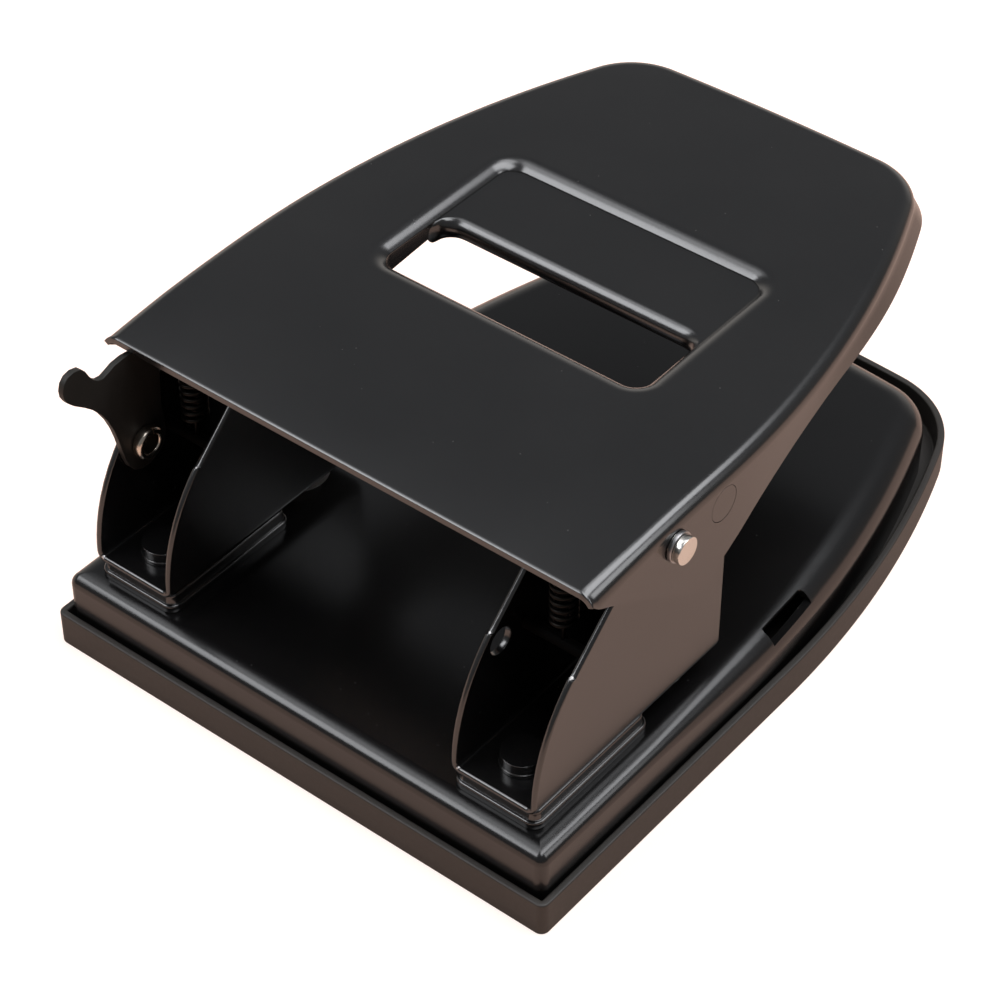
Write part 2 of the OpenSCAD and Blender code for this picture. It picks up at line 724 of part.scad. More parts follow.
module tube(path, r) {
    n = len(path);
    sides = 6;
    dir = [for (i = [0:n - 1]) let (d = path[min(i + 1, n - 1)] - path[max(i - 1, 0)]) d / norm(d)];
    ends = function (i) i == 0 || i == n - 1;
    pts = [for (i = [0:n - 1]) let (d = ends(i) ? [0, 0, 1] : dir[i],
            a = abs(d[2]) > 0.98 ? [1, 0, 0] : [d[1], -d[0], 0] / norm([d[0], d[1]]),
            b = cross(d, a))
        for (k = [0:sides - 1]) path[i] + r * (cos(360 * k / sides) * a + sin(360 * k / sides) * b)];
    wall = [for (i = [0:n - 2], k = [0:sides - 1]) let (q = (k + 1) % sides) each [
        [i * sides + k, (i + 1) * sides + k, (i + 1) * sides + q],
        [i * sides + k, (i + 1) * sides + q, i * sides + q]]];
    low = [for (k = [1:sides - 2]) [0, k, k + 1]];
    high = [for (k = [1:sides - 2]) let (b = (n - 1) * sides) [b, b + k + 1, b + k]];
    polyhedron(pts, concat(wall, low, high));
}

module spring(s) {
    color(dark) from_front() at_side(s) translate([0, spring_y, 0]) tube(spring_path, wire_r);
}

module left_spring() {
    spring(-1);
}

module right_spring() {
    spring(1);
}

module spring_anchor(s) {
    color(dark) from_front() at_side(s) translate([0, spring_y, anchor_z]) difference() {
        rod_x(anchor_r, 2 * br_in);
        translate([0, 0, anchor_r - tail - slack]) cylinder(r = wire_r + slack, h = 10, $fn = 32);
    }
}

module left_spring_anchor() {
    spring_anchor(-1);
}

module right_spring_anchor() {
    spring_anchor(1);
}

module spring_hanger(s) {
    color(dark) from_front() at_side(s) translate([0, spring_y, hanger_z]) difference() {
        translate([-hanger_w / 2, -hanger_t / 2, 0])
            cube([hanger_w, hanger_t, lever_z(spring_y) - lever_t - hanger_z + 0.3]);
        translate([0, 0, -1]) cylinder(r = wire_r + slack, h = tail + slack + 1, $fn = 32);
    }
}

module left_spring_hanger() {
    spring_hanger(-1);
}

module right_spring_hanger() {
    spring_hanger(1);
}

// outline of the lock plate round its pivot as [y, z]: thumb tab, belly, round foot, back, notch
lock_outline = [[-14, 23.9], [-15.4, 23.6], [-16.4, 22.6], [-16.8, 21.2], [-16.7, 19.8], [-16, 18.5],
    [-14.6, 17], [-12.4, 15.2], [-10.6, 13.5], [-9, 11.4], [-7.7, 9.1], [-6.6, 6.4], [-5.8, 3.6], [-5.2, 0.8],
    [-4.7, -1.6], [-3.9, -3.6], [-2.7, -5.1], [-1, -5.9], [1, -5.9], [3, -5.1], [4.6, -3.7], [5.4, -1.6],
    [5.2, 1], [4.8, 4.6], [5, 9.6], [5.2, 13.6], [5, 17.2], [4.2, 18.5], [2.8, 19.1], [-2.6, 19.8],
    [-4.8, 19.6], [-6.4, 19], [-7.6, 18.6], [-8.8, 18.8], [-9.8, 19.6], [-10.6, 20.8], [-11.4, 22.4],
    [-12.4, 23.5]];

module lock_plate() {
    color(nickel) from_front() plate_x(lock_x, lock_t) difference() {
        translate([lock_y, lock_z]) polygon(lock_outline);
        translate([lock_y, lock_z]) circle(r = eyelet_r + run, $fn = 64);
    }
}

module lock_eyelet() {
    inner_x = lock_x + lock_t + slack;
    outer_x = -pitch / 2 - br_w / 2;
    barrel = inner_x - outer_x;
    head = 0.8;
    color(nickel) from_front() translate([0, lock_y, lock_z]) difference() {
        union() {
            translate([outer_x + barrel / 2, 0, 0]) rod_x(eyelet_r, barrel + 1);
            translate([inner_x + eyelet_ring_h / 2, 0, 0]) rod_x(eyelet_ring_r, eyelet_ring_h);
            translate([outer_x - head / 2, 0, 0]) rod_x(eyelet_head_r, head);
        }
        translate([outer_x, 0, 0]) rod_x(eyelet_bore, 40);
    }
}

module paper_guide() {
    left = -base_w / 2 - slack;
    bar_end = base_w / 2 - bar_inset;
    y = slot_mid;
    color(steel) from_front() {
        translate([left - grip_t / 2, y - bar_w / 2, bar_z]) cube([bar_end - left + grip_t / 2, bar_w, bar_t]);
        translate([left - grip_t, y - bar_w / 2, bar_z - grip_drop]) cube([grip_t, bar_w, grip_h]);
    }
}

module guide_straps() {
    y = slot_mid;
    l = bar_w + 2 * slack + 2 * strap_t;
    low = bar_z - slack - strap_t;
    color(black) from_front() for (s = [-1, 1]) translate([s * strap_x, y, 0]) difference() {
        union() {
            translate([-strap_w / 2, -l / 2, low]) cube([strap_w, l, base_under - low]);
            translate([-strap_w / 2, -l / 2 - 4, base_under - strap_t]) cube([strap_w, l + 8, strap_t]);
        }
        translate([-strap_w, -bar_w / 2 - slack, bar_z - slack]) cube([2 * strap_w, bar_w + 2 * slack, 10]);
    }
}

chip_tray();
base_shell();
left_bracket();
right_bracket();
left_spacer();
right_spacer();
left_rivets();
right_rivets();
left_die();
right_die();
left_punch_guide();
right_punch_guide();
left_punch();
right_punch();
left_yoke();
right_yoke();
lever();
drive_rod();
pivot_pin();
left_pin_clip();
right_pin_clip();
left_spring();
right_spring();
left_spring_anchor();
right_spring_anchor();
left_spring_hanger();
right_spring_hanger();
lock_plate();
lock_eyelet();
paper_guide();
guide_straps();
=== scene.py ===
import bpy
import bmesh
from math import sin, cos, tan, acos, asin, radians, sqrt, pi
from mathutils import Matrix, Vector
from mathutils.geometry import delaunay_2d_cdt


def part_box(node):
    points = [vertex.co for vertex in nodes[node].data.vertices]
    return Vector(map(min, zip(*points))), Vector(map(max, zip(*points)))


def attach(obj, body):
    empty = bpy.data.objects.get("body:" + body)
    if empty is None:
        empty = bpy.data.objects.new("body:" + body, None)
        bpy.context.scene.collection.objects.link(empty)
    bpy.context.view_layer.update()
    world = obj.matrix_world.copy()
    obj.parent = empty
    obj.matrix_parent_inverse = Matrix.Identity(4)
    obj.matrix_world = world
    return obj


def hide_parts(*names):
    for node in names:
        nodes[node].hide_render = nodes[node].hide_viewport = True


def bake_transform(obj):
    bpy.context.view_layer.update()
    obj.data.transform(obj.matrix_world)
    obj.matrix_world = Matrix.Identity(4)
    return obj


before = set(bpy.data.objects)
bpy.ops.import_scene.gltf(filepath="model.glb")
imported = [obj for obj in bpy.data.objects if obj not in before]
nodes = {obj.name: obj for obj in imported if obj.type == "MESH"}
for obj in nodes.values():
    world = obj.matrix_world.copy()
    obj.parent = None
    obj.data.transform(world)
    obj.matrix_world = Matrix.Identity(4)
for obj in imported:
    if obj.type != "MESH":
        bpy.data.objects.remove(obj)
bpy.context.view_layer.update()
mm = 0.001
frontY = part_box("chip_tray")[0].y / mm  # lengths along Y below count from the tray's front face
scene = bpy.context.scene
scene.view_settings.view_transform = "Standard"
print("frame loaded:", len(nodes), "nodes")


class Wire:  # a socket, so that shader maths reads as plain sums
    def __init__(self, tree, socket=None):
        self.tree, self.socket = tree, socket

    def add(self, kind, settings=None, inputs=None, out=0):
        node = self.tree.nodes.new("ShaderNode" + kind)
        for key, value in (settings or {}).items():
            setattr(node, key, value)
        for key, value in (inputs or {}).items():
            if isinstance(value, Wire):
                self.tree.links.new(value.socket, node.inputs[key])
            else:
                node.inputs[key].default_value = value
        return Wire(self.tree, node.outputs[out]) if node.outputs else None

    def sum(self, kind, a, b):
        return self.add("Math", {"operation": kind}, {0: a, 1: b})

    def __add__(self, other):
        return self.sum("ADD", self, other)

    __radd__ = __add__

    def __mul__(self, other):
        return self.sum("MULTIPLY", self, other)

    __rmul__ = __mul__

    def __sub__(self, other):
        return self.sum("SUBTRACT", self, other)

    def __rsub__(self, other):
        return self.sum("SUBTRACT", other, self)

    def __gt__(self, other):
        return self.sum("GREATER_THAN", self, other)

    def __lt__(self, other):
        return self.sum("LESS_THAN", self, other)


def atPoint(x, y, z):  # a place in metres from millimetres, along Y from the tray's front
    return (x * mm, (y + frontY) * mm, z * mm)


def newMaterial(name):
    mat = bpy.data.materials.new(name)
    mat.use_nodes = True
    mat.node_tree.nodes.clear()
    return mat, Wire(mat.node_tree)


def noise(w, place, scale, detail=3.0, rough=0.5):
    return w.add("TexNoise", {}, {"Vector": place, "Scale": scale, "Detail": detail, "Roughness": rough})


def mixInk(w, share, a, b):
    return w.add("Mix", {"data_type": "RGBA"}, {0: share, 6: a, 7: b}, 2)


def bumpFrom(w, height, strength, depth):
    return w.add("Bump", {}, {"Strength": strength, "Distance": depth, "Height": height}, "Normal")


def closeMaterial(w, shader):
    w.add("OutputMaterial", {}, {"Surface": shader})


enamelLook = dict(ink=(0.0024, 0.0024, 0.0026, 1), mist=(0.0042, 0.004, 0.004, 1), dust=(0.07, 0.066, 0.06, 1),
                  gloss=0.16, shine=1.0, underTilt=-0.35, underGloss=0.6, underShine=0.1,
                  clouds=38.0, fine=2400.0, peel=650.0, peelStrength=0.12, peelDepth=0.00003,
                  specks=420.0, speckSize=0.045, speckPatches=60.0, speckShare=0.58,
                  steel=(0.75, 0.73, 0.72, 1), nicks=(), ragged=0.8, raggedMean=0.4, raggedGrain=1300.0)
baseShine = 0.65
# place from the bracket's middle line, then the radius
bracketNicks = [(8.2, 15.1, 43.5, 0.3), (-8.2, 15.1, 43.5, 0.25), (-7.4, 5.8, 20.5, 0.3)]
bracketMids = (-40, 40)


def nickMask(w, place, k):  # 1 where the enamel is chipped
    ragged = k["ragged"] * mm * noise(w, place, k["raggedGrain"], 2.0)
    mask = 0.0
    for x, y, z, r in k["nicks"]:
        off = w.add("VectorMath", {"operation": "DISTANCE"}, {0: place, 1: atPoint(x, y, z)}, "Value")
        mask = (off + ragged < (r + k["raggedMean"]) * mm) + mask
    return mask


def blackEnamel(name="blackEnamel", k=enamelLook):
    mat, w = newMaterial(name)
    place = w.add("TexCoord", out="Object")
    cloud = noise(w, place, k["clouds"], 4.0)
    peel = noise(w, place, k["peel"], 2.0)
    fine = noise(w, place, k["fine"], 2.0)
    dust = w.add("TexVoronoi", {}, {"Vector": place, "Scale": k["specks"]}, "Distance")
    speck = (k["speckSize"] > dust) * (noise(w, place, k["speckPatches"]) > k["speckShare"])
    ink = mixInk(w, cloud, k["ink"], k["mist"])
    ink = mixInk(w, speck * 0.5, ink, k["dust"])
    rough = k["gloss"] + 0.07 * cloud + 0.05 * fine + 0.25 * speck
    chip = 0.0
    if k["nicks"]:
        chip = nickMask(w, place, k)
        ink = mixInk(w, chip, ink, k["steel"])
        rough = rough + 0.2 * chip
    bump = bumpFrom(w, peel + 0.25 * fine, k["peelStrength"], k["peelDepth"])
    shader = w.add("BsdfPrincipled", {}, {"Base Color": ink, "Metallic": chip, "Roughness": rough, "Normal": bump,
                                         "Specular IOR Level": k["shine"]})
    thin = w.add("BsdfPrincipled", {}, {"Base Color": ink, "Roughness": k["underGloss"],
                                       "Specular IOR Level": k["underShine"]})
    under = w.add("SeparateXYZ", {}, {0: w.add("NewGeometry", out="Normal")}, "Z") < k["underTilt"]
    closeMaterial(w, w.add("MixShader", {}, {0: under, 1: shader, 2: thin}))  # undersides are sprayed thinly
    return mat


plasticLook = dict(ink=(0.019, 0.0162, 0.0138, 1), worn=(0.03, 0.026, 0.0225, 1), gloss=0.42, shine=0.5,
                   clouds=55.0, grain=1500.0, grainStrength=0.25, grainDepth=0.00004)
# spring anchors and hangers: near black, partly a dark finish and partly painted shade of the brackets' insides
shadedBlackLook = dict(plasticLook, ink=(0.0015, 0.0015, 0.0015, 1), worn=(0.003, 0.0028, 0.0026, 1),
                     gloss=0.6, shine=0.03, grain=2500.0)


def blackPlastic(name="blackPlastic", k=plasticLook):
    mat, w = newMaterial(name)
    place = w.add("TexCoord", out="Object")
    cloud = noise(w, place, k["clouds"], 4.0)
    grain = noise(w, place, k["grain"], 3.0, 0.6)
    ink = mixInk(w, cloud, k["ink"], k["worn"])
    bump = bumpFrom(w, grain, k["grainStrength"], k["grainDepth"])
    rough = k["gloss"] + 0.12 * grain + 0.06 * cloud
    shader = w.add("BsdfPrincipled", {}, {"Base Color": ink, "Roughness": rough, "Normal": bump,
                                         "Specular IOR Level": k["shine"]})
    closeMaterial(w, shader)
    return mat


metalLooks = {
    "toolSteel": dict(light=(0.46, 0.46, 0.47, 1), dark=(0.27, 0.265, 0.26, 1), rough=0.3, stretch=(1, 1, 0.12)),
    "brightPin": dict(light=(0.8, 0.78, 0.74, 1), dark=(0.62, 0.595, 0.55, 1), rough=0.2, stretch=(0.15, 1, 1)),
    # spring coils: a dark steel, made near black as painted shade of the brackets' insides
    "springSteel": dict(light=(0.022, 0.02, 0.018, 1), dark=(0.008, 0.0072, 0.0065, 1), rough=0.36, stretch=(1, 1, 1)),
    "guideSteel": dict(light=(0.56, 0.55, 0.53, 1), dark=(0.4, 0.39, 0.37, 1), rough=0.28, stretch=(0.06, 1, 1)),
}
metalGrain = dict(brush=2600.0, clouds=140.0, strength=0.18, depth=0.00003)


def bareMetal(name):
    k, g = metalLooks[name], metalGrain
    mat, w = newMaterial(name)
    place = w.add("TexCoord", out="Object")
    run = w.add("VectorMath", {"operation": "MULTIPLY"}, {0: place, 1: k["stretch"]}, "Vector")
    brush = noise(w, run, g["brush"], 4.0, 0.6)
    cloud = noise(w, place, g["clouds"], 4.0, 0.55)
    ink = mixInk(w, 0.55 * cloud + 0.45 * brush, k["dark"], k["light"])
    bump = bumpFrom(w, brush, g["strength"], g["depth"])
    rough = k["rough"] + 0.16 * (1 - cloud) * brush
    shader = w.add("BsdfPrincipled", {}, {"Base Color": ink, "Metallic": 1.0, "Roughness": rough, "Normal": bump})
    closeMaterial(w, shader)
    return mat


eyeletLook = dict(light=(0.75, 0.68, 0.6, 1), dark=(0.48, 0.42, 0.35, 1), boreShade=(0.02, 0.014, 0.009, 1), rough=0.18,
                  clouds=420.0, axis=(17.198, 40.4), bore=1.88)


def eyeletPlate(k=eyeletLook):  # warm plating, with painted shade inside the bore
    mat, w = newMaterial("eyeletPlate")
    place = w.add("TexCoord", out="Object")
    cloud = noise(w, place, k["clouds"], 4.0, 0.55)
    off = w.add("VectorMath", {"operation": "SUBTRACT"}, {0: place, 1: atPoint(0, *k["axis"])}, "Vector")
    flat = w.add("VectorMath", {"operation": "MULTIPLY"}, {0: off, 1: (0, 1, 1)}, "Vector")
    inside = w.add("VectorMath", {"operation": "LENGTH"}, {0: flat}, "Value") < k["bore"] * mm
    ink = mixInk(w, cloud, k["dark"], k["light"])
    # the bore is coloured near black: painted shade inside the hollow rivet
    ink = mixInk(w, inside, ink, k["boreShade"])
    shader = w.add("BsdfPrincipled", {}, {"Base Color": ink, "Metallic": 1.0,
                                         "Roughness": k["rough"] + 0.14 * cloud + 0.3 * inside})
    closeMaterial(w, shader)
    return mat


dullLook = dict(pale=(0.026, 0.025, 0.023, 1), stain=(0.011, 0.0098, 0.008, 1), rough=0.45, metal=0.4,
                clouds=260.0, spots=1500.0, spotStrength=0.2, spotDepth=0.00004)


def dullPlate(k=dullLook):  # stamped plate with a stained plating
    mat, w = newMaterial("dullPlate")
    place = w.add("TexCoord", out="Object")
    cloud = noise(w, place, k["clouds"], 5.0, 0.6)
    spots = noise(w, place, k["spots"], 3.0, 0.6)
    ink = mixInk(w, 0.6 * cloud + 0.4 * spots, k["stain"], k["pale"])
    bump = bumpFrom(w, spots, k["spotStrength"], k["spotDepth"])
    shader = w.add("BsdfPrincipled", {}, {"Base Color": ink, "Metallic": k["metal"], "Normal": bump,
                                         "Roughness": k["rough"] + 0.15 * cloud})
    closeMaterial(w, shader)
    return mat


placedNicks = [(x + mid, y, z, r) for mid in bracketMids for x, y, z, r in bracketNicks]
finishes = {"black_enamel": blackEnamel(),
            "base_enamel": blackEnamel("baseEnamel", dict(enamelLook, shine=baseShine)),
            "bracket_enamel": blackEnamel("bracketEnamel", dict(enamelLook, nicks=placedNicks)),
            "black_plastic": blackPlastic(), "tool_steel": bareMetal("toolSteel"),
            "bright_pin": bareMetal("brightPin"), "spring_steel": bareMetal("springSteel"),
            "nickel_plate": eyeletPlate(), "guide_steel": bareMetal("guideSteel"),
            "dull_plate": dullPlate(), "shaded_black": blackPlastic("shaded_black", shadedBlackLook)}
print("finishes made:", len(finishes))


weldGap = 2e-6  # metres, also for the solid pieces


# meshes below are in millimetres, along Y from the tray's front
def newPiece(name, verts, faces):
    mesh = bpy.data.meshes.new(name)
    mesh.from_pydata([atPoint(*p) for p in verts], [], faces)
    bm = bmesh.new()
    bm.from_mesh(mesh)
    bmesh.ops.remove_doubles(bm, verts=bm.verts, dist=weldGap)
    bmesh.ops.recalc_face_normals(bm, faces=bm.faces)
    for face in bm.faces:
        face.smooth = True
    bm.to_mesh(mesh)
    bm.free()
    piece = bpy.data.objects.new(name, mesh)
    scene.collection.objects.link(piece)
    return piece


def sweep(loops, closedLoops=True, around=False, caps=True):
    n = len(loops[0])
    verts = [p for loop in loops for p in loop]
    faces = []
    rows = len(loops) if around else len(loops) - 1
    for r in range(rows):
        a, b = r * n, ((r + 1) % len(loops)) * n
        for i in range(n if closedLoops else n - 1):
            j = (i + 1) % n
            faces.append((a + i, a + j, b + j, b + i))
    if caps and not around:
        faces += [tuple(range(n)), tuple(range((len(loops) - 1) * n, len(loops) * n))]
    return verts, faces


def join(*parts):
    verts, faces = [], []
    for v, f in parts:
        k = len(verts)
        verts += v
        faces += [tuple(i + k for i in face) for face in f]
    return verts, faces


def inLoop(x, y, loop):
    inside = False
    for (x1, y1), (x2, y2) in zip(loop, loop[1:] + loop[:1]):
        if (y1 > y) != (y2 > y) and x < (x2 - x1) * (y - y1) / (y2 - y1) + x1:
            inside = not inside
    return inside


def flatFill(outer, holes, z):  # triangles of a flat plate with holes
    points, edges = [], []
    for loop in [outer] + holes:
        k = len(points)
        points += [Vector(p[:2]) for p in loop]
        edges += [(k + i, k + (i + 1) % len(loop)) for i in range(len(loop))]
    got = delaunay_2d_cdt(points, edges, [], 0, 1e-7)
    flat = [(p.x, p.y) for p in got[0]]
    faces = []
    for face in got[2]:
        cx, cy = (sum(flat[i][k] for i in face) / len(face) for k in (0, 1))
        if inLoop(cx, cy, [tuple(p[:2]) for p in outer]) and not any(
                inLoop(cx, cy, [tuple(p[:2]) for p in hole]) for hole in holes):
            faces.append(tuple(face))
    return [(x, y, z) for x, y in flat], faces


def circleLoop(cx, cy, r, n=48):
    return [(cx + r * cos(2 * pi * i / n), cy + r * sin(2 * pi * i / n)) for i in range(n)]


def roundBox(halfW, y0, y1, r, offset=0.0, n=10):  # rounded rectangle, counter-clockwise
    w, a, b, q = halfW + offset, y0 - offset, y1 + offset, max(r + offset, 0.05)
    out = []
    for cx, cy, start in ((w - q, a + q, -90), (w - q, b - q, 0), (-w + q, b - q, 90), (-w + q, a + q, 180)):
        out += [(cx + q * cos(radians(start + 90 * i / n)), cy + q * sin(radians(start + 90 * i / n)))
                for i in range(n + 1)]
    return out


def cutAway(piece, verts, faces):  # takes a solid out of a piece
    tool = newPiece("cutter", verts, faces)
    mod = piece.modifiers.new("cut", "BOOLEAN")
    mod.object, mod.operation, mod.solver = tool, "DIFFERENCE", "EXACT"
    graph = bpy.context.evaluated_depsgraph_get()
    made = bpy.data.meshes.new_from_object(piece.evaluated_get(graph))
    piece.modifiers.clear()
    piece.data = made
    bpy.data.objects.remove(tool)
    for face in piece.data.polygons:
        face.use_smooth = True


def rodX(y, z, r, x0, x1, n=48):
    ring = circleLoop(y, z, r, n)
    return sweep([[(x, a, b) for a, b in ring] for x in (x0, x1)])


def softEdges(piece, width, angle=35, segments=2):  # width in millimetres, edges sharper than the angle
    mod = piece.modifiers.new("edges", "BEVEL")
    mod.width, mod.segments = width * mm, segments
    mod.limit_method, mod.angle_limit = "ANGLE", radians(angle)
    mod.use_clamp_overlap = True
    mod.miter_outer = "MITER_ARC"
    mod = piece.modifiers.new("shade", "WEIGHTED_NORMAL")
    mod.mode, mod.weight = "FACE_AREA", 60


def settle(piece, body, slot, *stands):
    piece.data.materials.clear()
    piece.data.materials.append(finishes[slot])
    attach(piece, body)
    if stands:
        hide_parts(*stands)


def onArc(cx, cy, r, a):
    c, s = cos(radians(a)), sin(radians(a))
    return (cx + r * c, cy + r * s, c, s)


def shieldRear(k, counts=(30, 18, 10)):
    w, side, bow, a1, rc, a2 = k["halfW"], k["side"], k["bow"], k["bowTurn"], k["corner"], k["rearTurn"]
    cx = w - bow * (1 - cos(radians(a1))) - rc * cos(radians(a1))
    cy = side + bow * sin(radians(a1)) - rc * sin(radians(a1))
    rearY, rearR = cy - cx * tan(radians(a2)), cx / cos(radians(a2)) + rc
    n, m, q = counts
    return ([onArc(w - bow, side, bow, a1 * i / n) for i in range(n + 1)]
            + [onArc(cx, cy, rc, a1 + (a2 - a1) * i / m) for i in range(1, m + 1)]
            + [onArc(0, rearY, rearR, a2 + (90 - a2) * i / (q + 0.5)) for i in range(1, q + 1)])


def shieldLoop(k, rear, inset):  # closed outline from the right front corner, counter-clockwise
    q = max(k["frontR"] - inset, 0.12)
    front = [(k["halfW"] - inset - q + q * sin(radians(15 * i)), k["front"] + inset + q - q * cos(radians(15 * i)))
             for i in range(7)]
    sides = [(k["halfW"] - inset, k["front"] + 6 + (k["side"] - k["front"] - 6) * i / 8) for i in range(8)]
    half = front + sides + [(x - inset * nx, y - inset * ny) for x, y, nx, ny in rear]
    return half + [(-x, y) for x, y in reversed(half)]


def shieldRings(k, profile):
    rear = shieldRear(k)
    return [[(x, y, z) for x, y in shieldLoop(k, rear, d)] for d, z in profile]


traySize = dict(halfW=55, front=0, frontR=1.6, side=69.48, bow=201, bowTurn=19.3, corner=20, rearTurn=86,
                height=7.1, wall=1.4, floor=1.6, soft=0.35, bevel=(0.05, 60, 1))  # bevel: width, least angle, steps


def chipTray(k=traySize):
    s, h, t = k["soft"], k["height"], k["wall"]
    arc = [(sin(radians(a)), 1 - cos(radians(a))) for a in (0, 30, 60, 90)]
    profile = [(s * (1 - a), s * b) for a, b in arc]
    profile += [(s * b, h - s * (1 - a)) for a, b in arc]
    profile += [(t - s * (1 - a), h - s * b) for a, b in arc]
    profile += [(t, k["floor"] + 0.5), (t + 0.15, k["floor"] + 0.15), (t + 0.5, k["floor"])]
    piece = newPiece("trayShell", *sweep(shieldRings(k, profile)))
    softEdges(piece, *k["bevel"])
    settle(piece, "tray", "black_plastic", "chip_tray")


chipTray()

baseSize = dict(halfW=53.3, front=1.9, frontR=1.9, side=60, bow=221, bowTurn=19, corner=12, rearTurn=84,
                top=15.8, low=1.6, sheet=1.2, crown=9.0, crownTurn=15, edge=2.2, edgeRear=5.7, grow=(32, 88),
                pitch=80, dieY=48, dieR=6.03, rivetYs=(13.4, 27.6), rivetR=2.03,
                slotY=67.3, slotL=13, slotW=3.5, slotZ=13.2, slotR=0.8, slotTurn=3.58, slotOver=4,
                run=8.5, runUnder=0.02, runIn=-0.1, bevel=(0.18, 40, 2))


def baseProfile(k, e):
    t, top, crown, turn = k["sheet"], k["top"], k["crown"], radians(k["crownTurn"])
    joint = top - crown * (1 - cos(turn))  # where the gentle crown meets the tight edge
    outer = []
    angles = [90 - (90 - k["crownTurn"]) * i / 10 for i in range(11)]
    angles += [k["crownTurn"] * (5 - i) / 6 for i in range(6)]
    for a in angles:
        c, q = cos(radians(a)), sin(radians(a))
        if a >= k["crownTurn"]:
            d, z = e * (1 - q), joint + e * (c - cos(turn))
        else:
            d, z = e * (1 - sin(turn)) + crown * (sin(turn) - q), top - crown * (1 - c)
        outer.append((d, z, d + t * q, z - t * c))
    inner = [(d, z) for _, _, d, z in reversed(outer)]
    return inner + [(t, k["low"]), (0, k["low"])] + [(d, z) for d, z, _, _ in outer]


def baseShell(k=baseSize):
    t, top = k["sheet"], k["top"]
    tight, wide = (shieldRings(k, baseProfile(k, e)) for e in (k["edge"], k["edgeRear"]))
    y0, y1 = k["grow"]  # the fold widens from the front to the rear
    shares = [min(1.0, max(0.0, (p[1] - y0) / (y1 - y0))) for p in tight[len(tight) // 2]]
    rings = [[tuple(a + (b - a) * u for a, b in zip(p, q)) for p, q, u in zip(ringA, ringB, shares)]
             for ringA, ringB in zip(tight, wide)]
    holes = []
    for s in (-1, 1):
        holes.append(circleLoop(s * k["pitch"] / 2, k["dieY"], k["dieR"]))
        holes += [circleLoop(s * k["pitch"] / 2, y, k["rivetR"], 32) for y in k["rivetYs"]]
    parts = [sweep(rings, caps=False), flatFill(rings[-1], holes, top), flatFill(rings[0], holes, top - t)]
    parts += [sweep([[(x, y, z) for x, y in hole] for z in (top, top - t)], caps=False) for hole in holes]
    piece = newPiece("baseShell", *join(*parts))
    mid = k["slotY"] + k["slotL"] / 2
    turn = radians(k["slotTurn"])
    sag = k["bow"] * (1 - cos(turn))
    slot = (k["slotW"], top + k["slotOver"], 0)
    guideRoom = (k["run"], top - t - k["runUnder"], k["runIn"])  # thins the sheet beside the slot from below
    for s in (-1, 1):
        for half, high, grow in (slot, guideRoom):
            box = roundBox(half, -k["slotL"] / 2, k["slotL"] / 2, k["slotR"], grow, 4)
            flat = [(s * (k["halfW"] - sag + x * cos(turn) - y * sin(turn)), mid + x * sin(turn) + y * cos(turn))
                    for x, y in box]
            cutAway(piece, *sweep([[(x, y, z) for x, y in flat] for z in (k["slotZ"], high)]))
    softEdges(piece, *k["bevel"])
    settle(piece, "machine", "black_enamel", "base_shell")
    piece.data.materials[0] = finishes["base_enamel"]


baseShell()
print("tray and base made")

leverSize = dict(halfW=51.8, front=15.5, top=64.0, drop=1.7, slopeEnd=50, roll=0.5, rollSpan=0.42,
                 sheet=1.4, thin=0.74, edge=2.7, edgeFront=3.1, edgeRun=14.0, flare=1.6, flareY=60, flareRun=55,
                 side=50, bow=202, bowTurn=23.3, corner=14, rearTurn=88,
                 panelW=28.05, panelFront=58.9, panelRear=95.0, panelR=3.4, panelEdge=4.4, rim=5.0,
                 tongueDrop=1.5, tongueFront=76.3, tongueIn=0.3, tongueR=2.0, openR=4.2, lip=2.2, lipSheet=1.1,
                 pin=(37.0, 58.2, 2.56), rod=(49.9, 57.9, 3.38), boreReach=6,
                 bevel=(0.3, 45, 3), tongueBevel=(0.2, 50, 2))
# depth of the side below the top, from the front edge back
leverSide = [(0, 1.6), (0.8, 2.5), (1.6, 3.25), (4.1, 4.85), (7.6, 7.1), (10.6, 9), (14.1, 11.6), (17.3, 13.9),
             (20.6, 16.2), (23.6, 18.2), (26.1, 19.7), (28.1, 20.5), (29.8, 20.7), (31.3, 20.4), (32.8, 19.6),
             (35.7, 18), (39.3, 16.1), (44.3, 13.2), (49.8, 10.6), (55.3, 8.5), (60.8, 6.9), (66.9, 5.7),
             (73.1, 5.2), (79.1, 5.2), (100, 5.6), (140, 5.8)]


def smoothTable(x, table):  # cubic through the table's points, with no overshoot
    if x <= table[0][0]:
        return table[0][1]
    for i in range(len(table) - 1):
        (x0, y0), (x1, y1) = table[i], table[i + 1]
        if x <= x1:
            h, d = x1 - x0, (y1 - y0) / (x1 - x0)

            def slope(j):
                if j <= 0 or j >= len(table) - 1:
                    return d
                (xa, ya), (xb, yb), (xc, yc) = table[j - 1:j + 2]
                p, q = (yb - ya) / (xb - xa), (yc - yb) / (xc - xb)
                return 0.0 if p * q <= 0 else 2 * p * q / (p + q)
            m0, m1, t = slope(i), slope(i + 1), (x - x0) / h
            return (y0 * (1 + 2 * t) * (1 - t) ** 2 + h * m0 * t * (1 - t) ** 2
                    + y1 * t * t * (3 - 2 * t) + h * m1 * t * t * (t - 1))
    return table[-1][1]


def leverTop(k, y):
    u = max(0.0, (k["slopeEnd"] - y) / (k["slopeEnd"] - k["front"]))
    over = max(0.0, k["rollSpan"] - (y - k["front"]))
    return k["top"] - k["drop"] * u * u - (k["roll"] - sqrt(k["roll"] ** 2 - over * over))


